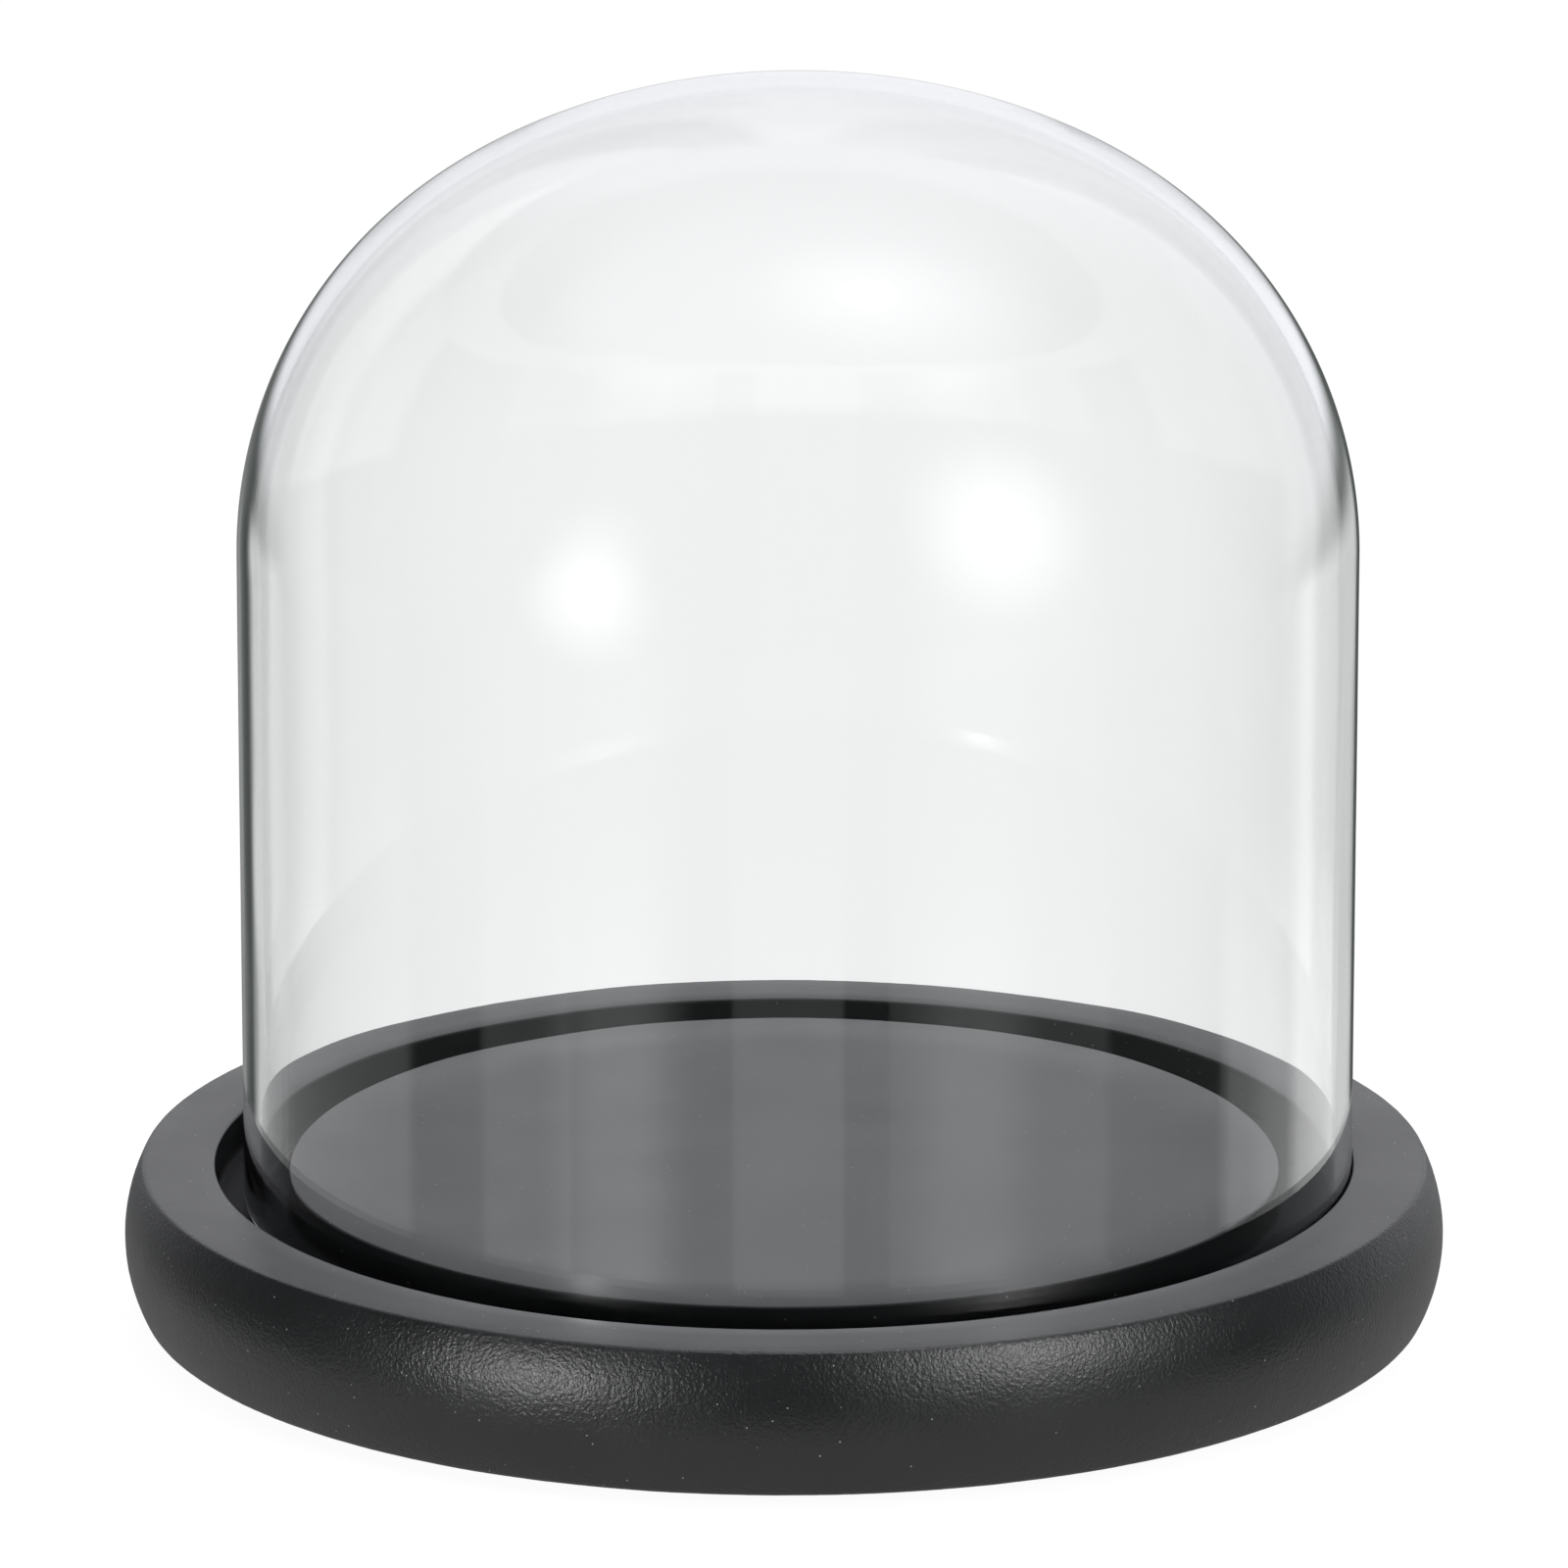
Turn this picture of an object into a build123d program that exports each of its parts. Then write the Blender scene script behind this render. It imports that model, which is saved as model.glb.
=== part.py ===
"""Bell jar dome: a blown-glass dome standing loose in a grooved, bull-nosed round base.

Origin: centre of the footprint, on the surface that the foot pads stand on. +Z is up.
All sizes are in millimetres.
"""

from build123d import *
import os
from math import atan2, cos, degrees, radians, sin, sqrt

# --- Driving dimensions: base board -------------------------------------------------------------
base_diameter = 150.0  # across the widest part of the bulged side
base_thickness = 16.5  # the board alone, without the pads
side_bulge = 2.1  # how far the side swells past its top and bottom arrises
groove_outer_diameter = 129.3
plateau_diameter = 112.6  # inner wall of the groove; the exhibit stands inside it
groove_depth = 4.5
top_arris_radius = 0.4
bottom_arris_radius = 1.0
groove_lip_radius = 0.3  # broken edges where the groove opens
groove_root_radius = 0.8  # corner radius left by the router bit

# --- Driving dimensions: foot pads --------------------------------------------------------------
pad_count = 4
pad_diameter = 14.0
pad_thickness = 1.5
pad_edge_radius = 0.3
pad_circle_diameter = 112.0
first_pad_angle = 45.0

# --- Driving dimensions: glass dome -------------------------------------------------------------
glass_diameter = 126.0
glass_wall = 2.0
glass_height = 128.5  # from the rounded rim to the outside of the crown
shoulder_radius = 50.3  # outside radius where the wall turns into the crown
crown_radius = 81.8  # outside radius of the flatter crown

# --- Fit between the two ------------------------------------------------------------------------
seat_gap = 0.05  # under the rim, where the glass stands on the groove's floor
side_gap = 0.10  # where the glass leans against the groove's outer wall, on the +X side

# --- Levels and radii that follow ---------------------------------------------------------------
board_bottom = pad_thickness
board_top = board_bottom + base_thickness
board_middle = (board_bottom + board_top) / 2
groove_floor = board_top - groove_depth

base_radius = base_diameter / 2
arris_radius = base_radius - side_bulge
groove_outer_radius = groove_outer_diameter / 2
plateau_radius = plateau_diameter / 2

glass_radius = glass_diameter / 2
rim_radius = glass_wall / 2
rim_level = groove_floor + seat_gap
dome_offset = groove_outer_radius - glass_radius - side_gap

# The crown arc is centred on the dome's axis, and the shoulder arc is tangent to it and to the wall.
shoulder_centre_radius = glass_radius - shoulder_radius
crown_to_shoulder = crown_radius - shoulder_radius
crown_centre_drop = sqrt(crown_to_shoulder**2 - shoulder_centre_radius**2)
crown_centre_height = glass_height - crown_radius
shoulder_centre_height = crown_centre_height + crown_centre_drop
shoulder_turn = degrees(atan2(crown_centre_drop, shoulder_centre_radius))

os.makedirs("parts", exist_ok=True)


def circles_at(part, radius, height):
    """The circular edges of a turned part that have this radius and height."""
    near = 1e-3
    return [
        edge
        for edge in part.edges().filter_by(GeomType.CIRCLE)
        if abs(edge.radius - radius) < near and abs(edge.center().Z - height) < near
    ]


def dome_arcs(depth):
    """Shoulder and crown arcs at a depth below the outside of the glass, from the wall to the axis."""
    CenterArc((shoulder_centre_radius, shoulder_centre_height), shoulder_radius - depth, 0, shoulder_turn)
    CenterArc((0, crown_centre_height), crown_radius - depth, shoulder_turn, 90 - shoulder_turn)


# --- Base board ---------------------------------------------------------------------------------
with BuildPart() as wooden_base:
    with BuildSketch(Plane.XZ):
        with BuildLine():
            underside = Line((0, board_bottom), (arris_radius, board_bottom))
            side = ThreePointArc(underside @ 1, (base_radius, board_middle), (arris_radius, board_top))
            rim = Line(side @ 1, (groove_outer_radius, board_top))
            outer_wall = Line(rim @ 1, (groove_outer_radius, groove_floor))
            floor = Line(outer_wall @ 1, (plateau_radius, groove_floor))
            inner_wall = Line(floor @ 1, (plateau_radius, board_top))
            plateau = Line(inner_wall @ 1, (0, board_top))
            Line(plateau @ 1, underside @ 0)
        make_face()
    revolve(axis=Axis.Z)
    fillet(circles_at(wooden_base, arris_radius, board_bottom), bottom_arris_radius)
    fillet(circles_at(wooden_base, arris_radius, board_top), top_arris_radius)
    fillet(circles_at(wooden_base, groove_outer_radius, board_top), groove_lip_radius)
    fillet(circles_at(wooden_base, plateau_radius, board_top), groove_lip_radius)
    fillet(circles_at(wooden_base, groove_outer_radius, groove_floor), groove_root_radius)
    fillet(circles_at(wooden_base, plateau_radius, groove_floor), groove_root_radius)
wooden_base.part.label = "wooden_base"
export_step(wooden_base.part, "parts/wooden_base.step")

# --- Foot pads, stuck under the board -----------------------------------------------------------
for number in range(pad_count):
    pad_angle = radians(first_pad_angle + number * 360 / pad_count)
    pad_x = pad_circle_diameter / 2 * cos(pad_angle)
    pad_y = pad_circle_diameter / 2 * sin(pad_angle)
    with BuildPart() as foot_pad:
        with BuildSketch(Plane((pad_x, pad_y, 0))):
            Circle(pad_diameter / 2)
        extrude(amount=pad_thickness)
        fillet(foot_pad.edges().group_by(Axis.Z)[0], pad_edge_radius)
    pad_name = f"foot_pad_{number + 1}"
    foot_pad.part.label = pad_name
    export_step(foot_pad.part, f"parts/{pad_name}.step")

# --- Glass dome, standing in the groove and pushed towards +X -----------------------------------
dome_plane = Plane((dome_offset, 0, rim_level), x_dir=(1, 0, 0), z_dir=(0, -1, 0))
with BuildPart() as glass_dome:
    with BuildSketch(dome_plane):
        with BuildLine():
            Line((glass_radius, rim_radius), (glass_radius, shoulder_centre_height))
            dome_arcs(0)
            Line((0, glass_height), (0, glass_height - glass_wall))
            dome_arcs(glass_wall)
            Line((glass_radius - glass_wall, shoulder_centre_height), (glass_radius - glass_wall, rim_radius))
            CenterArc((glass_radius - rim_radius, rim_radius), rim_radius, 180, 180)
        make_face()
    revolve(axis=Axis((dome_offset, 0, 0), (0, 0, 1)))
glass_dome.part.label = "glass_dome"
export_step(glass_dome.part, "parts/glass_dome.step")
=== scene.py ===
import math

import bmesh
import bpy
import numpy as np
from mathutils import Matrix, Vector, noise


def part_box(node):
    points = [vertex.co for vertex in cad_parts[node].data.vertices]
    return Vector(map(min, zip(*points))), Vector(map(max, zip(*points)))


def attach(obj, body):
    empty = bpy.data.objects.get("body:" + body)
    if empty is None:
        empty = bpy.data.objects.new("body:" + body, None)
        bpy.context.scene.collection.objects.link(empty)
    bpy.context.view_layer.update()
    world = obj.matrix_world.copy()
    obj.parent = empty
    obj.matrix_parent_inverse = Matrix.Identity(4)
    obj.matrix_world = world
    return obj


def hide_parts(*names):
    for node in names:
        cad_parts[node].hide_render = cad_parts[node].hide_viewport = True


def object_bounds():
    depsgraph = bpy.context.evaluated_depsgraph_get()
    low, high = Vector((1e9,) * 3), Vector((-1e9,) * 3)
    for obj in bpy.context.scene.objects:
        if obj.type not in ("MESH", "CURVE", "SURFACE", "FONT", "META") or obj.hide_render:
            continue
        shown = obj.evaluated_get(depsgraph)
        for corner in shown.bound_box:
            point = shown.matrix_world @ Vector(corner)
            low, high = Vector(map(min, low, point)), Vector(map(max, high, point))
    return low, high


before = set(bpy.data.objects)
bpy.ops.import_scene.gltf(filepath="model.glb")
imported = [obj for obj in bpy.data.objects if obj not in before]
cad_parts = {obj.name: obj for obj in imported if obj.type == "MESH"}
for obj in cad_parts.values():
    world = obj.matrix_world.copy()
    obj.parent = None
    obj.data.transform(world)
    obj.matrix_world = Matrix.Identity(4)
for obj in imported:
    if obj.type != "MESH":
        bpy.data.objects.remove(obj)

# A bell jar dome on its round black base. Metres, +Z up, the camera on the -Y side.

MM = 0.001
SAME_POINT = 1e-7  # metres: points closer than this are one point
CAD_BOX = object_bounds()

# --- What the frame says about sizes and places, in metres --------------------------------------
BOARD_LOW, BOARD_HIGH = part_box("wooden_base")
DOME_LOW, DOME_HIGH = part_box("glass_dome")
PADS = [name for name in sorted(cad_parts) if name.startswith("foot_pad")]
FLOOR_Z = CAD_BOX[0].z

BOARD_RADIUS = (BOARD_HIGH.x - BOARD_LOW.x) / 2
BOARD_BOTTOM = BOARD_LOW.z
BOARD_TOP = BOARD_HIGH.z
GLASS_RADIUS = (DOME_HIGH.x - DOME_LOW.x) / 2
GLASS_CENTRE = (DOME_LOW + DOME_HIGH) / 2
GLASS_BOTTOM = DOME_LOW.z
GLASS_HEIGHT = DOME_HIGH.z - DOME_LOW.z

# --- Details that the frame doesn't state, in metres --------------------------------------------
SIDE_BULGE = 2.1 * MM
TOP_ARRIS = 0.4 * MM
BOTTOM_ARRIS = 1.0 * MM
GROOVE_OUTER_RADIUS = 64.65 * MM
PLATEAU_RADIUS = 56.3 * MM
GROOVE_DEPTH = 4.5 * MM
GROOVE_LIP = 0.3 * MM
GROOVE_ROOT = 0.8 * MM
GLASS_WALL = 2.0 * MM
SHOULDER_RADIUS = 50.3 * MM
CROWN_RADIUS = 81.8 * MM
EASE_START = 44.0  # degrees above level at which the glass starts to flatten towards the crown
LOW_ARRIS_TURN = 2.0  # degrees of the side's arc that the lower arris takes up
HIGH_ARRIS_TURN = 1.0

# How deep each surface strays from its true shape, always inwards, and how wide its lumps are.
PEBBLE_DEPTH = 0.05 * MM
PEBBLE_SIZE = 1.0 * MM
PEBBLE_SHARE = 0.6  # the weight of the fine and of the coarse grain alike
GLASS_WAVE_DEPTH = 0.10 * MM
GLASS_WAVE_SIZE = 42 * MM
GLASS_WAVE_MARGIN = 6 * MM  # the wave dies out over this height at the rim and at the crown
GLASS_RIPPLE_SIZE = 14 * MM
GLASS_RIPPLE_SHARE = 0.15
FELT_FUZZ_DEPTH = 0.18 * MM
FELT_FUZZ_SIZE = 0.7 * MM

# (least radius, segments): how finely each piece is turned, from its rim to its axis
BOARD_DENSITY = [(BOARD_RADIUS - SIDE_BULGE - 1.5 * BOTTOM_ARRIS, 1536), (20 * MM, 384), (0, 96)]
GLASS_DENSITY = [(16 * MM, 368), (5 * MM, 184), (0, 46)]
PAD_DENSITY = [(2 * MM, 120), (0, 40)]

# --- Looks --------------------------------------------------------------------------------------
GLASS_IOR = 1.5
GLASS_TINT = (0.0, 0.36, 0.34)
GLASS_TINT_DENSITY = 5.0
PAINT_DARK = Vector((0.0085, 0.0085, 0.0097))
PAINT_LIGHT = Vector((0.0125, 0.0125, 0.0140))
PAINT_CLOUD_SIZE = 14 * MM
PAINT_GRAIN_SIZE = 0.42 * MM
PAINT_FINE_GRAIN_SIZE = 0.16 * MM
DUST_COLOUR = (0.35, 0.35, 0.35)
DUST_SPACING = 1.5 * MM
DUST_RADIUS = 0.12 * MM
DUST_SHARE = 0.40
FELT_DARK = (0.006, 0.006, 0.007)
FELT_LIGHT = (0.030, 0.030, 0.033)
FELT_FIBRE_SIZE = 0.25 * MM
FELT_FIBRE_DEPTH = 0.12 * MM

# --- The studio that the surfaces mirror --------------------------------------------------------
# Azimuth 0 is the camera's side, 90 is +X, and 180 is behind the object. All angles are in degrees.
BACKDROP = 1.02
TABLE_RADIUS = 0.115
TABLE_COLOUR = (0.15, 0.15, 0.15)
TABLE_GLOW = 0.95
MIRRORED_TABLE_GLOW = 0.38
DIM = (0.085, 0.095, 0.09)
GAP = (0.10, 0.11, 0.105)
WHITE_WALL = (0.95, 0.96, 1.0)
HIGH_WALL = (0.62, 0.64, 0.69)
CEILING = (0.84, 0.86, 0.91)
DARK_WALL_RISE = 1.50  # height of the dark front wall over its distance
DARK_WALL_FADE = 0.30
DARK_WALL_DISTANCE = 0.5  # the least distance that this ratio is taken with
# (elevation, colour) stops
ABOVE_DARK_WALL = [(20, HIGH_WALL), (90, CEILING)]
BACK_OF_ROOM = [(-12, DIM), (-11, GAP), (-8, GAP), (-4, WHITE_WALL), (26, WHITE_WALL), (90, CEILING)]
# Light panels standing low in the studio: azimuth, half width, soft edge, radiance
LOW_PANELS = [(-38, 3, 15, 0.85), (-58, 9.5, 1.5, 0.38), (-2, 10.5, 1.5, 0.32), (36, 3, 14, 0.40),
              (43, 23.5, 1.5, 0.22), (-110, 21, 3, 0.42), (124, 23, 3, 0.50)]
TALL_PANELS = [(145, 18, 4, 0.52), (-143, 8, 5, 0.55), (-150, 1, 3, 0.16),
               (-170, 4, 4, 0.22), (125, 10, 8, 0.15)]
BACK_PANEL = [(180, 2, 4, 0.60)]
# Fades: (from, to, value before, value after)
FRONT_TO_BACK = (0.2, 0.7, 0, 1)  # by the y of a direction
LEFT_TO_RIGHT = (-1, 1, 0.85, 1.15)  # by its x
LOW_PANEL_FADE = (-16.5, -15.3, 1, 0.25)  # by elevation
TALL_PANEL_FADE = (-12, -9.5, 1, 0.12)
PANEL_FADE = (-8, -4, 1, 0)
LEFT_END_FADE = (20, 50, 1, 0.2)  # by azimuth from the middle of the white wall
RIGHT_END_FADE = (-50, -20, 0.6, 1)
ABOVE_ENDS_FADE = (28, 50, 0, 1)  # by elevation
# Lamps: name, azimuth, elevation, distance, (width, height), radiance in the middle.
# No two lie in one plane, because a mirrored ray would then count only one of them.
LAMPS = [
    ("front_left_core", -42, 4.5, 1.18, (0.20, 0.20), 48),
    ("front_left_blob", -42, 4.5, 1.2, (0.76, 0.72), 2.8),
    ("front_left_tail", -42, 16, 1.2, (0.62, 0.66), 1.4),
    ("front_right_core", 43, 24, 1.2, (0.24, 0.40), 16),
    ("front_right_blob", 43, 22, 1.2, (0.96, 1.15), 2.5),
    ("front_right_glow", 43, 14, 1.2, (1.3, 1.9), 0.7),
    ("overhead_core", 90, 80, 1.28, (0.22, 0.20), 17),
    ("overhead_blob", 90, 80, 1.3, (1.0, 1.1), 1.4),
]
LAMP_AIM = Vector((0, 0, 0.08))

# --- The camera ---------------------------------------------------------------------------------
SENSOR_WIDTH = 36.0
LENS = 273.8
CAMERA_PITCH = 15.2
CAMERA_DISTANCE = 1.345
CAMERA_AIM = Vector((0, 0, 0.0617))


# --- Outlines: lists of (r, z) points, walked with the outside on the right ---------------------
def arc(centre, radius, start, end, steps):
    """Points along an arc, angles in degrees, both ends included."""
    angles = [math.radians(start + (end - start) * i / steps) for i in range(steps + 1)]
    return [(centre[0] + radius * math.cos(a), centre[1] + radius * math.sin(a)) for a in angles]


def run(start, end, steps):
    """Points along a straight run, both ends included."""
    return [
        (start[0] + (end[0] - start[0]) * i / steps, start[1] + (end[1] - start[1]) * i / steps)
        for i in range(steps + 1)
    ]


def joined(*stretches):
    """One outline from several stretches, with the shared end points kept once."""
    outline = []
    for stretch in stretches:
        for point in stretch:
            if not outline or math.dist(point, outline[-1]) > SAME_POINT:
                outline.append(point)
    return outline


def outward(outline, closed):
    """The outward direction (r, z) at each point of an outline."""
    points = np.array(outline)
    if closed:
        along = np.roll(points, -1, 0) - np.roll(points, 1, 0)
    else:
        along = np.gradient(points, axis=0)
    return np.stack([along[:, 1], -along[:, 0]], 1) / np.linalg.norm(along, axis=1)[:, None]


def lathe(name, outline, density, centre=(0, 0), closed=False, slots=None, relief=None):
    """Turns an outline about a vertical axis. A point on the axis becomes a pole.
    density is (least radius, segments) pairs, widest first; each count is a multiple of the next.
    slots gives each span its material index. relief(place) says how deep a vertex sinks inwards."""
    bm = bmesh.new()
    rings = [
        turned_ring(bm, point, out, density, centre, relief)
        for point, out in zip(outline, outward(outline, closed))
    ]
    spans = list(zip(rings, rings[1:]))
    if closed:
        spans.append((rings[-1], rings[0]))
    for number, (low, high) in enumerate(spans):
        span_faces(bm, low, high, slots[number] if slots else 0)
    mesh = bpy.data.meshes.new(name)
    bm.to_mesh(mesh)
    bm.free()
    piece = bpy.data.objects.new(name, mesh)
    bpy.context.scene.collection.objects.link(piece)
    return piece


def turned_ring(bm, point, out, density, centre, relief):
    """The vertices that one outline point leaves as it is turned, or just one if it is on the axis."""
    (r, z), (out_r, out_z) = point, out
    segments = next(count for least_radius, count in density if r >= least_radius)
    ring = []
    for k in range(segments if r > SAME_POINT else 1):
        turn = 2 * math.pi * k / segments
        towards = Vector((math.cos(turn), math.sin(turn), 0))
        place = Vector((*centre, z)) + towards * r
        if relief:
            place -= (towards * out_r + Vector((0, 0, out_z))) * relief(place)
        ring.append(bm.verts.new(place))
    return ring


def span_faces(bm, low, high, slot):
    """The faces between two rings. Where one ring is finer, each face takes in several of its steps."""
    fewer, more = sorted((len(low), len(high)))
    if more == 1:
        return
    count = fewer if fewer > 1 else more
    for k in range(count):
        corners = stretch_of(low, k, count) + stretch_of(high, k, count)[::-1]
        face = bm.faces.new(dict.fromkeys(corners))
        face.smooth = True
        face.material_index = slot


def stretch_of(ring, k, count):
    """The vertices that sector k of count takes from a ring, both ends included."""
    step = len(ring) // count
    return [ring[(k * step + i) % len(ring)] for i in range(step + 1)]


# --- Node helpers -------------------------------------------------------------------------------
class Nodes:
    """Short ways to add nodes to a material's, lamp's or world's tree and to feed their sockets."""

    def __init__(self, tree):
        self.tree = tree

    def __getitem__(self, name):
        return self.tree.nodes[name]

    def add(self, kind, **settings):
        """Adds a node, named as in its type without ShaderNode, and gives it its settings."""
        node = self.tree.nodes.new("ShaderNode" + kind)
        for key, value in settings.items():
            setattr(node, key, value)
        return node

    def feed(self, socket, source):
        """Links an output to a socket, or sets the socket's value."""
        if isinstance(source, bpy.types.NodeSocket):
            self.tree.links.new(source, socket)
        else:
            socket.default_value = source

    def math(self, operation, *sources):
        """The result of one sum on numbers."""
        node = self.add("Math", operation=operation)
        for socket, source in zip(node.inputs, sources):
            self.feed(socket, source)
        return node.outputs["Value"]

    def vector(self, operation, *sources):
        """The result of one sum on vectors."""
        node = self.add("VectorMath", operation=operation)
        for socket, source in zip(node.inputs, sources):
            self.feed(socket, source)
        return node.outputs["Value" if operation == "LENGTH" else "Vector"]

    def xyz(self, source):
        """The three parts of a vector."""
        node = self.add("SeparateXYZ")
        self.feed(node.inputs["Vector"], source)
        return node.outputs["X"], node.outputs["Y"], node.outputs["Z"]

    def spread(self, source, low, high, to_low, to_high, smooth=False):
        """Maps a value from one range to another, held at the ends."""
        node = self.add("MapRange", interpolation_type="SMOOTHSTEP" if smooth else "LINEAR")
        ends = {"From Min": low, "From Max": high, "To Min": to_low, "To Max": to_high}
        for key, value in ends.items():
            node.inputs[key].default_value = value
        self.feed(node.inputs["Value"], source)
        return node.outputs["Result"]

    def ramp(self, source, stops):
        """A colour ramp from (position, colour) stops."""
        node = self.add("ValToRGB")
        elements = node.color_ramp.elements
        while len(elements) < len(stops):
            elements.new(1)
        for element, (position, colour) in zip(elements, stops):
            element.position = position
            element.color = (*colour, 1)
        self.feed(node.inputs["Fac"], source)
        return node.outputs["Color"]

    def mix(self, factor, a, b, blend="MIX"):
        """Mixes two colours."""
        node = self.add("Mix", data_type="RGBA", blend_type=blend)
        self.feed(node.inputs["Factor"], factor)
        for socket, colour in zip((s for s in node.inputs if s.type == "RGBA"), (a, b)):
            self.feed(socket, colour)
        return next(s for s in node.outputs if s.type == "RGBA")

    def place(self):
        """Where a point lies on its object, in metres."""
        return self.add("TexCoord").outputs["Object"]

    def noise(self, size, detail, roughness=0.5):
        """Smooth noise whose lumps are about size across, in metres on an object."""
        node = self.add("TexNoise")
        self.feed(node.inputs["Vector"], self.place())
        node.inputs["Scale"].default_value = 1 / size
        node.inputs["Detail"].default_value = detail
        node.inputs["Roughness"].default_value = roughness
        return node.outputs["Fac"]

    def specks(self, cell, radius, share):
        """1 on a scatter of tiny round specks, 0 between them. A share of the cells hold one each."""
        node = self.add("TexVoronoi")
        self.feed(node.inputs["Vector"], self.place())
        node.inputs["Scale"].default_value = 1 / cell
        near = self.spread(node.outputs["Distance"], 0.6 * radius / cell, radius / cell, 1.0, 0.0)
        return self.math("MULTIPLY", near, self.math("LESS_THAN", node.outputs["Color"], share))

    def seen_straight(self, depth=0):
        """1 where light reaches the lens directly or only through glass, 0 where a surface mirrors it.
        depth is the ray depth that a straight view of this surface or background has."""
        path = self.add("LightPath").outputs
        bounces = self.math("SUBTRACT", path["Ray Depth"], path["Transmission Depth"])
        straight = self.math("LESS_THAN", bounces, depth + 0.5)
        seen = self.math("MAXIMUM", path["Is Camera Ray"], path["Is Transmission Ray"])
        return self.math("MULTIPLY", straight, seen)

    def bump(self, shader, *layers):
        """Feeds a shader's normal from (height, depth in metres) layers."""
        for height, depth in layers:
            node = self.add("Bump")
            node.inputs["Distance"].default_value = depth
            self.feed(node.inputs["Height"], height)
            if shader.inputs["Normal"].is_linked:
                self.feed(node.inputs["Normal"], shader.inputs["Normal"].links[0].from_socket)
            self.feed(shader.inputs["Normal"], node.outputs["Normal"])


def new_material(name):
    """A new material, its nodes and its main shader."""
    material = bpy.data.materials.new(name)
    material.use_nodes = True
    nodes = Nodes(material.node_tree)
    return material, nodes, nodes["Principled BSDF"]


# --- Materials ----------------------------------------------------------------------------------
def glass_material():
    """Clear, faintly green glass: it bends, mirrors and swallows light as the real wall does."""
    material, nodes, shader = new_material("clear_glass")
    shader.inputs["Base Color"].default_value = (1, 1, 1, 1)
    shader.inputs["Transmission Weight"].default_value = 1.0
    shader.inputs["Roughness"].default_value = 0.0
    shader.inputs["IOR"].default_value = GLASS_IOR
    volume = nodes.add("VolumeAbsorption")
    volume.inputs["Color"].default_value = (*GLASS_TINT, 1)
    volume.inputs["Density"].default_value = GLASS_TINT_DENSITY
    nodes.feed(nodes["Material Output"].inputs["Volume"], volume.outputs["Volume"])
    return material


def black_paint(name, roughness, edge_roughness, specular, grain_depth, tone=1.0):
    """Satin black paint, with a few specks of dust on it. It looks duller at a glancing angle."""
    material, nodes, shader = new_material(name)
    cloud = nodes.noise(PAINT_CLOUD_SIZE, 3)
    paint = nodes.ramp(cloud, [(0.35, PAINT_DARK * tone), (0.65, PAINT_LIGHT * tone)])
    dust = nodes.specks(DUST_SPACING, DUST_RADIUS, DUST_SHARE)
    nodes.feed(shader.inputs["Base Color"], nodes.mix(dust, paint, (*DUST_COLOUR, 1)))
    facing = nodes.add("LayerWeight").outputs["Facing"]
    glancing = nodes.spread(facing, 0.35, 0.95, roughness, edge_roughness)
    uneven = nodes.spread(cloud, 0.3, 0.7, -0.02, 0.03)
    nodes.feed(shader.inputs["Roughness"], nodes.math("ADD", glancing, uneven))
    shader.inputs["Specular IOR Level"].default_value = specular
    grain = nodes.noise(PAINT_GRAIN_SIZE, 2, 0.55)
    fine_grain = nodes.noise(PAINT_FINE_GRAIN_SIZE, 1)
    nodes.bump(shader, (grain, grain_depth), (fine_grain, grain_depth / 6))
    return material


def felt_material():
    """Black felt: matt, with a little sheen on its fibres."""
    material, nodes, shader = new_material("black_felt")
    fibres = nodes.noise(FELT_FIBRE_SIZE, 4, 0.7)
    felt = nodes.ramp(fibres, [(0.3, FELT_DARK), (0.7, FELT_LIGHT)])
    nodes.feed(shader.inputs["Base Color"], felt)
    nodes.feed(shader.inputs["Roughness"], nodes.spread(fibres, 0.3, 0.7, 0.85, 1.0))
    shader.inputs["Specular IOR Level"].default_value = 0.2
    shader.inputs["Sheen Weight"].default_value = 0.4
    shader.inputs["Sheen Roughness"].default_value = 0.5
    nodes.bump(shader, (fibres, FELT_FIBRE_DEPTH))
    return material


# --- The glass dome -----------------------------------------------------------------------------
def dome_curve(depth):
    """From the top of the wall to the axis, at a depth inside the glass. The radius eases from the
    shoulder's to the crown's, so that nothing mirrored in the glass kinks where they meet."""
    steps = 88
    shoulder_r = GLASS_RADIUS - SHOULDER_RADIUS
    crown_z = GLASS_BOTTOM + GLASS_HEIGHT - CROWN_RADIUS
    drop = math.sqrt((CROWN_RADIUS - SHOULDER_RADIUS) ** 2 - shoulder_r**2)
    start = (GLASS_RADIUS - depth, crown_z + drop)
    points = [start]
    for i in range(steps):
        turn = math.radians(90) * (i + 0.5) / steps
        ease = min(1, max(0, (math.degrees(turn) - EASE_START) / (90 - EASE_START)))
        radius = SHOULDER_RADIUS + (CROWN_RADIUS - SHOULDER_RADIUS) * ease**2 * (3 - 2 * ease) - depth
        r, z = points[-1]
        travel = radius * math.radians(90) / steps
        points.append((r - travel * math.sin(turn), z + travel * math.cos(turn)))
    wide = start[0] / (start[0] - points[-1][0])
    tall = (GLASS_BOTTOM + GLASS_HEIGHT - depth - start[1]) / (points[-1][1] - start[1])
    return [(start[0] - (start[0] - r) * wide, start[1] + (z - start[1]) * tall) for r, z in points]


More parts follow.
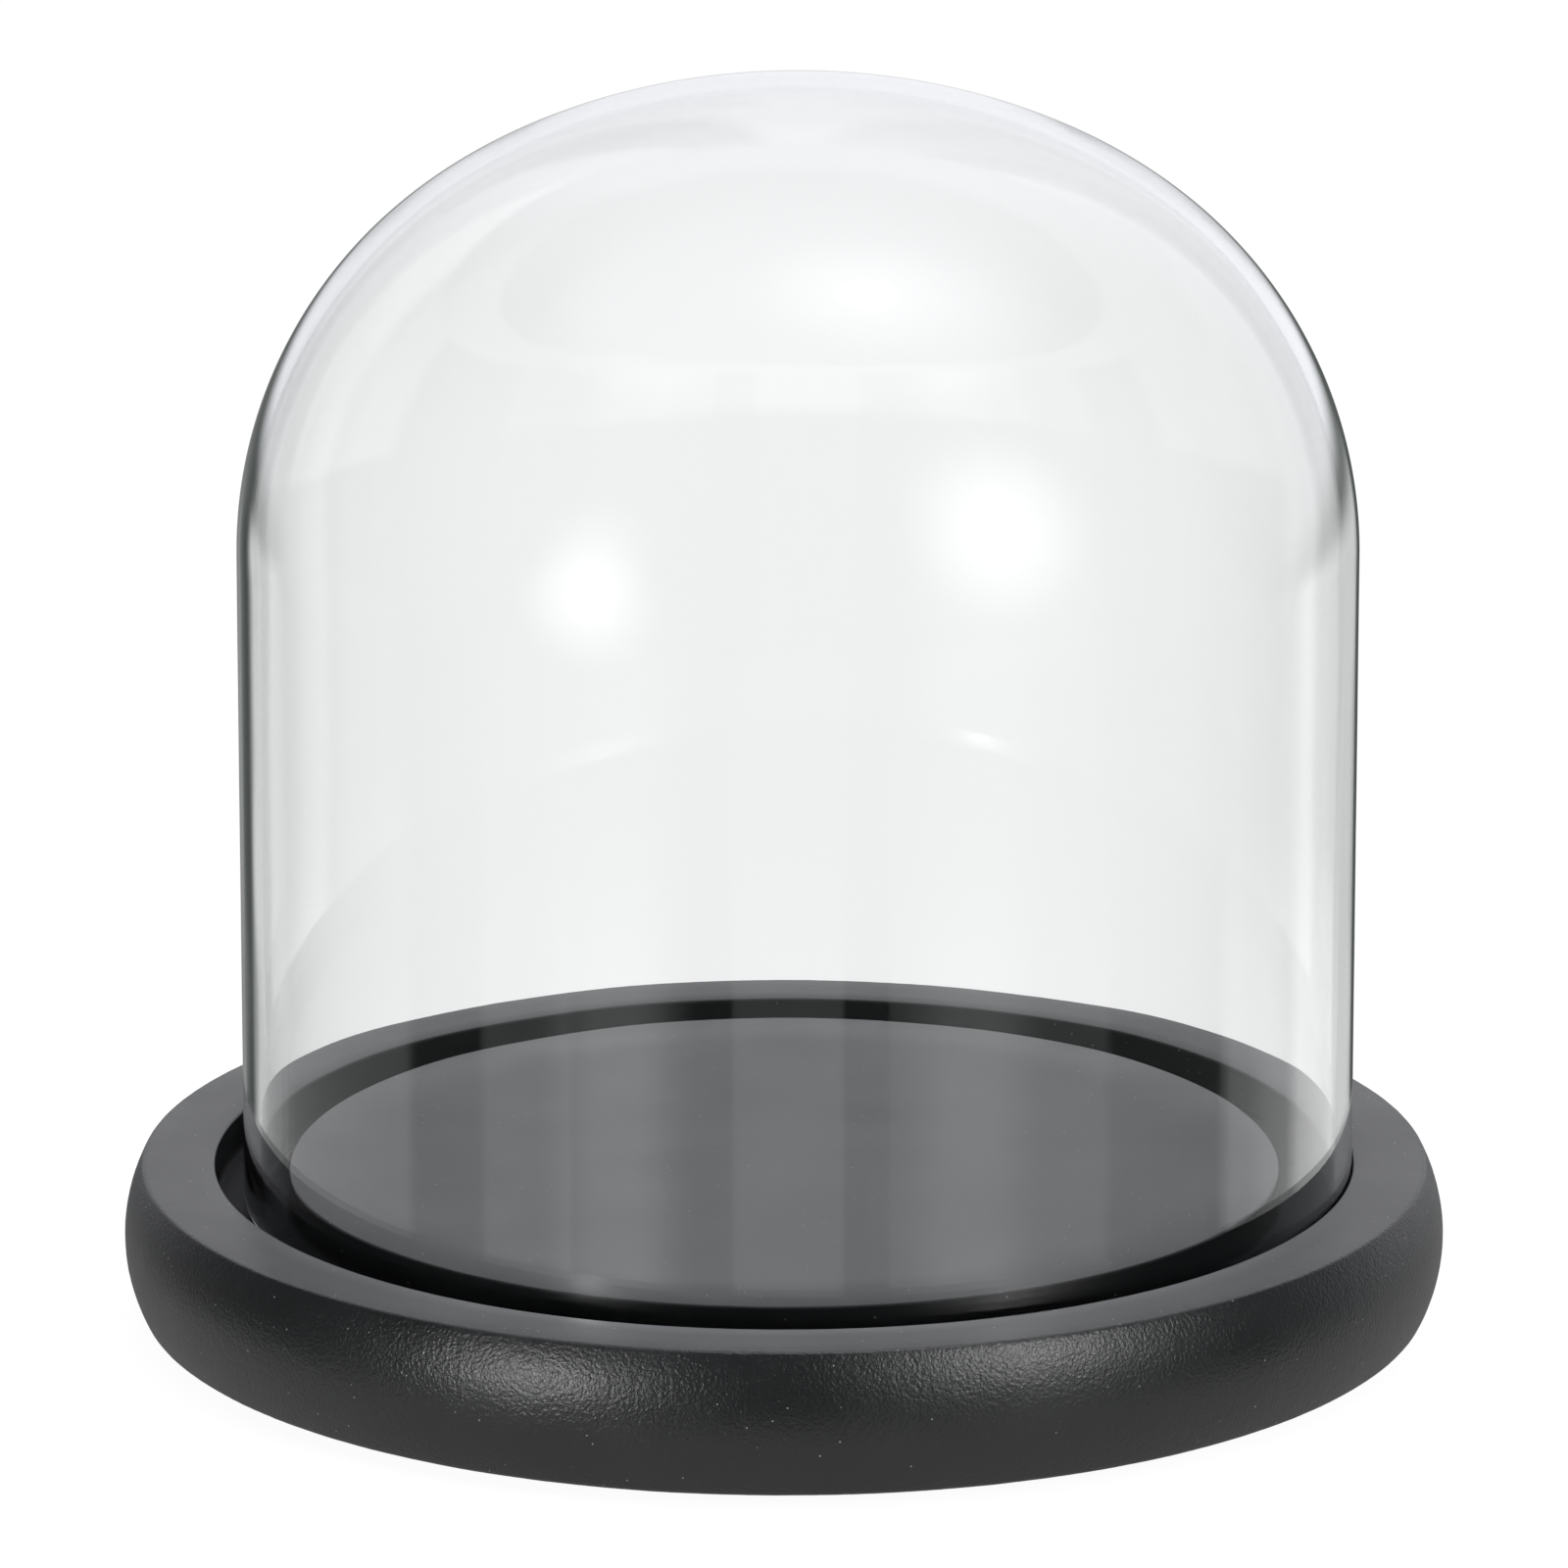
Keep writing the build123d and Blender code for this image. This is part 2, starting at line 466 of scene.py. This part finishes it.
def glass_outline():
    """The shell's section: up the outside, down the inside and round the rim."""
    rim = GLASS_WALL / 2
    rim_z = GLASS_BOTTOM + rim
    outer = dome_curve(0)
    inner = dome_curve(GLASS_WALL)[::-1]
    outer[-1] = (0, outer[-1][1])
    inner[0] = (0, inner[0][1])
    outside = joined(run((GLASS_RADIUS, rim_z), outer[0], steps=40), outer)
    inside = joined(inner, run(inner[-1], (GLASS_RADIUS - GLASS_WALL, rim_z), steps=40))
    return outside + inside + arc((GLASS_RADIUS - rim, rim_z), rim, 180, 360, steps=14)[1:-1]


def glass_wave(place):
    """Blown glass is never quite round: a slow swell, flat at the rim and at the crown."""
    swell = 0.5 + 0.5 * noise.noise(place / GLASS_WAVE_SIZE)
    ripple = 0.5 + 0.5 * noise.noise(place / GLASS_RIPPLE_SIZE + Vector((7, 3, 5)))
    above_rim = min(1, (place.z - GLASS_BOTTOM) / GLASS_WAVE_MARGIN)
    below_top = min(1, (DOME_HIGH.z - place.z) / GLASS_WAVE_MARGIN)
    wave = (1 - GLASS_RIPPLE_SHARE) * swell + GLASS_RIPPLE_SHARE * ripple
    return GLASS_WAVE_DEPTH * wave * above_rim * below_top


def make_glass():
    """The blown dome, which lifts off."""
    centre = (GLASS_CENTRE.x, GLASS_CENTRE.y)
    piece = lathe("dome_glass", glass_outline(), GLASS_DENSITY, centre, closed=True, relief=glass_wave)
    piece.data.materials.append(glass_material())
    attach(piece, "dome")
    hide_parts("glass_dome")


# --- The base board -----------------------------------------------------------------------------
FACE, SIDE, GROOVE = range(3)


def board_stretches():
    """(stretch, material) pairs, from the underside's middle up the side to the plateau's middle."""
    half = (BOARD_TOP - BOARD_BOTTOM) / 2
    middle = BOARD_BOTTOM + half
    side_radius = (half**2 + SIDE_BULGE**2) / (2 * SIDE_BULGE)
    side_centre = (BOARD_RADIUS - side_radius, middle)
    lean = math.degrees(math.asin(half / side_radius))
    edge = BOARD_RADIUS - SIDE_BULGE
    floor = BOARD_TOP - GROOVE_DEPTH
    outer, inner = GROOVE_OUTER_RADIUS, PLATEAU_RADIUS
    lip, root = GROOVE_LIP, GROOVE_ROOT
    side = arc(side_centre, side_radius, LOW_ARRIS_TURN - lean, lean - HIGH_ARRIS_TURN, steps=46)
    low_arris = blended((edge - BOTTOM_ARRIS, BOARD_BOTTOM), (edge, BOARD_BOTTOM), side[0], steps=5)
    high_arris = blended(side[-1], (edge, BOARD_TOP), (edge - TOP_ARRIS, BOARD_TOP), steps=4)
    return [
        (run((0, BOARD_BOTTOM), low_arris[0], steps=5), FACE),
        (low_arris, SIDE),
        (side, SIDE),
        (high_arris, SIDE),
        (run(high_arris[-1], (outer + lip, BOARD_TOP), steps=3), FACE),
        (arc((outer + lip, BOARD_TOP - lip), lip, 90, 180, steps=3), FACE),
        (run((outer, BOARD_TOP - lip), (outer, floor + root), steps=2), GROOVE),
        (arc((outer - root, floor + root), root, 0, -90, steps=4), GROOVE),
        (run((outer - root, floor), (inner + root, floor), steps=3), GROOVE),
        (arc((inner + root, floor + root), root, -90, -180, steps=4), GROOVE),
        (run((inner, floor + root), (inner, BOARD_TOP - lip), steps=2), GROOVE),
        (arc((inner - lip, BOARD_TOP - lip), lip, 0, 90, steps=3), FACE),
        (run((inner - lip, BOARD_TOP), (0, BOARD_TOP), steps=6), FACE),
    ]


def blended(start, corner, end, steps):
    """A smooth curve from start to end that cuts inside a corner."""
    points = []
    for i in range(steps + 1):
        t = i / steps
        weights = ((1 - t) ** 2, 2 * t * (1 - t), t**2)
        points.append(tuple(
            weights[0] * start[k] + weights[1] * corner[k] + weights[2] * end[k] for k in range(2)
        ))
    return points


def pebble(place):
    """The grain that the paint leaves on the routed side: none on the flat faces or in the groove."""
    radius = math.hypot(place.x, place.y)
    share = (radius - (BOARD_RADIUS - SIDE_BULGE - 2 * TOP_ARRIS)) / TOP_ARRIS
    if share <= 0:
        return 0
    fine = 0.5 + 0.5 * noise.noise(place / PEBBLE_SIZE)
    coarse = 0.5 + 0.5 * noise.noise(place / (4 * PEBBLE_SIZE) + Vector((3, 9, 1)))
    return PEBBLE_DEPTH * min(1, share) * PEBBLE_SHARE * (fine + coarse)


def make_board():
    """The routed board, with its own paint on the flat faces, the side and the groove."""
    stretches = board_stretches()
    outline = joined(*(stretch for stretch, _ in stretches))
    slots = [slot for stretch, slot in stretches for _ in stretch[1:]]
    piece = lathe("base_board", outline, BOARD_DENSITY, slots=slots, relief=pebble)
    for paint in (
        black_paint("satin_face", 0.31, 0.33, specular=0.53, grain_depth=0.006 * MM),
        black_paint("pebbled_side", 0.31, 0.45, specular=0.80, grain_depth=0.09 * MM),
        # tone=2.2 lightens the groove's paint: partly the greyer look of rough routed paint, partly
        # painted light standing in for the light that falls into the groove's front
        black_paint("routed_groove", 0.60, 0.65, specular=0.22, grain_depth=0.03 * MM, tone=2.2),
    ):
        piece.data.materials.append(paint)
    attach(piece, "base")
    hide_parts("wooden_base")


# --- Felt pads ----------------------------------------------------------------------------------
def pad_fuzz(place):
    """How deep the felt's surface dips between its fibres."""
    return FELT_FUZZ_DEPTH * (0.5 + 0.5 * noise.noise(place / FELT_FUZZ_SIZE))


def make_pads():
    """A felt disc in place of each foot pad."""
    felt = felt_material()
    for number, node in enumerate(PADS, 1):
        low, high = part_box(node)
        radius = (high.x - low.x) / 2
        edge = (high.z - low.z) / 4
        outline = joined(
            run((0, low.z), (radius - edge, low.z), steps=14),
            arc((radius - edge, low.z + edge), edge, -90, 0, steps=4),
            run((radius, low.z + edge), (radius, high.z), steps=4),
            run((radius, high.z), (0, high.z), steps=8),
        )
        middle = (low + high) / 2
        piece = lathe(f"felt_pad_{number}", outline, PAD_DENSITY, (middle.x, middle.y), relief=pad_fuzz)
        piece.data.materials.append(felt)
        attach(piece, "base")
        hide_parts(node)


# --- Stage, light and camera --------------------------------------------------------------------
def make_stage():
    """A round white table top, which gives most of its light itself and keeps a soft contact shadow."""
    bpy.ops.mesh.primitive_circle_add(
        vertices=256, radius=TABLE_RADIUS, fill_type="NGON", location=(0, 0, FLOOR_Z)
    )
    floor = bpy.context.object
    floor.name = "studio_floor"
    material, nodes, shader = new_material("white_floor")
    shader.inputs["Base Color"].default_value = (*TABLE_COLOUR, 1)
    shader.inputs["Roughness"].default_value = 1.0
    shader.inputs["Specular IOR Level"].default_value = 0.0
    shader.inputs["Emission Color"].default_value = (1, 1, 1, 1)
    glow = nodes.spread(nodes.seen_straight(), 0, 1, MIRRORED_TABLE_GLOW, TABLE_GLOW)
    nodes.feed(shader.inputs["Emission Strength"], glow)
    floor.data.materials.append(material)


def make_world():
    """Plain white where it is seen directly or through the glass, a studio where it is mirrored."""
    world = bpy.data.worlds.new("studio")
    bpy.context.scene.world = world
    world.use_nodes = True
    nodes = Nodes(world.node_tree)
    backdrop = (BACKDROP, BACKDROP, BACKDROP, 1)
    surroundings = nodes.mix(nodes.seen_straight(depth=1), studio(nodes), backdrop)
    nodes.feed(nodes["Background"].inputs["Color"], surroundings)


def studio(nodes):
    """The colour of the studio in each direction: dim and faintly green in front, a white wall behind
    (+Y) above a dark gap, panels of light standing low down all round, and a bright ceiling."""
    x, y, z = nodes.xyz(nodes.add("TexCoord").outputs["Generated"])
    elevation = nodes.math("DEGREES", nodes.math("ARCSINE", z))
    azimuth = nodes.math("DEGREES", nodes.math("ARCTAN2", x, nodes.math("MULTIPLY", y, -1)))

    distance = nodes.math("MAXIMUM", nodes.math("MULTIPLY", y, -1), DARK_WALL_DISTANCE)
    rise = nodes.math("DIVIDE", z, distance)
    over_wall = nodes.spread(rise, DARK_WALL_RISE, DARK_WALL_RISE + DARK_WALL_FADE, 0, 1, smooth=True)
    front = nodes.mix(over_wall, (*DIM, 1), by_elevation(nodes, elevation, ABOVE_DARK_WALL))
    wall = by_elevation(nodes, elevation, BACK_OF_ROOM)
    back = nodes.mix(1.0, wall, wall_ends(nodes, azimuth, elevation), "MULTIPLY")
    room = nodes.mix(nodes.spread(y, *FRONT_TO_BACK, smooth=True), front, back)
    room = nodes.mix(1.0, room, all_panels(nodes, azimuth, elevation), "ADD")
    return nodes.mix(1.0, room, nodes.spread(x, *LEFT_TO_RIGHT), "MULTIPLY")


def by_elevation(nodes, elevation, stops):
    """A ramp from (elevation, colour) stops."""
    height = nodes.spread(elevation, -90, 90, 0, 1)
    return nodes.ramp(height, [((stop + 90) / 180, colour) for stop, colour in stops])


def azimuth_from(nodes, azimuth, middle):
    """Degrees from a middle azimuth, between -180 and 180."""
    return nodes.math("WRAP", nodes.math("SUBTRACT", azimuth, middle), 180, -180)


def wall_ends(nodes, azimuth, elevation):
    """How the white wall behind dims towards its ends, on the left more than on the right."""
    turn = azimuth_from(nodes, azimuth, 180)
    left = nodes.spread(turn, *LEFT_END_FADE)
    right = nodes.spread(turn, *RIGHT_END_FADE)
    above = nodes.spread(elevation, *ABOVE_ENDS_FADE)
    return nodes.math("MAXIMUM", nodes.math("MULTIPLY", left, right), above)


def all_panels(nodes, azimuth, elevation):
    """The light of every panel. The tall ones reach a little higher than the low ones."""
    low_fade = nodes.spread(elevation, *LOW_PANEL_FADE)
    tall_fade = nodes.spread(elevation, *TALL_PANEL_FADE)
    low = nodes.math("MULTIPLY", panels(nodes, azimuth, LOW_PANELS), low_fade)
    tall = nodes.math("MULTIPLY", panels(nodes, azimuth, TALL_PANELS), tall_fade)
    light = nodes.math("ADD", nodes.math("ADD", low, tall), panels(nodes, azimuth, BACK_PANEL))
    return nodes.math("MULTIPLY", light, nodes.spread(elevation, *PANEL_FADE))


def panels(nodes, azimuth, placed):
    """The light of several panels together, whatever the elevation."""
    total = 0.0
    for middle, half_width, soft_edge, radiance in placed:
        off = nodes.math("ABSOLUTE", azimuth_from(nodes, azimuth, middle))
        light = nodes.spread(off, half_width, half_width + soft_edge, radiance, 0, smooth=True)
        total = nodes.math("ADD", total, light)
    return total


def soft_box(name, azimuth, elevation, distance, size, radiance):
    """A round or oval area light aimed at the dome, brightest in the middle, dying away to its edge."""
    data = bpy.data.lights.new(name, "AREA")
    data.shape = "ELLIPSE"
    data.size, data.size_y = size
    data.energy = radiance * math.pi * size[0] * size[1]
    lamp = bpy.data.objects.new(name, data)
    a, e = math.radians(azimuth), math.radians(elevation)
    away = Vector((math.sin(a) * math.cos(e), -math.cos(a) * math.cos(e), math.sin(e)))
    lamp.location = LAMP_AIM + away * distance
    lamp.rotation_euler = away.to_track_quat("Z", "Y").to_euler()
    lamp.visible_camera = False
    lamp.visible_transmission = False
    fade_edge(data, lamp.location, size)
    bpy.context.scene.collection.objects.link(lamp)


def fade_edge(light, centre, size):
    """Scales the light's strength from 1 at its centre to 0 at its edge."""
    light.use_nodes = True
    nodes = Nodes(light.node_tree)
    offset = nodes.vector("SUBTRACT", nodes.add("NewGeometry").outputs["Position"], centre)
    reach = nodes.vector("LENGTH", nodes.vector("MULTIPLY", offset, (1, 1, size[0] / size[1])))
    strength = nodes.spread(reach, 0, size[0] / 2, 1, 0, smooth=True)
    nodes.feed(nodes["Emission"].inputs["Strength"], strength)


def make_lights():
    """Three soft boxes, each a small bright core in a soft blob. The front two add a faint glow."""
    for lamp in LAMPS:
        soft_box(*lamp)


def make_camera():
    """Looks down at the dome from the front, at the photo's angle."""
    data = bpy.data.cameras.new("camera")
    camera = bpy.data.objects.new("camera", data)
    bpy.context.scene.collection.objects.link(camera)
    data.sensor_width = SENSOR_WIDTH
    data.lens = LENS
    pitch = math.radians(CAMERA_PITCH)
    back = Vector((0, -math.cos(pitch), math.sin(pitch)))
    camera.location = CAMERA_AIM + back * CAMERA_DISTANCE
    camera.rotation_euler = back.to_track_quat("Z", "Y").to_euler()
    bpy.context.scene.camera = camera


bpy.context.scene.view_settings.view_transform = "Standard"
make_stage()
make_world()
make_lights()
make_camera()
make_glass()
make_board()
make_pads()
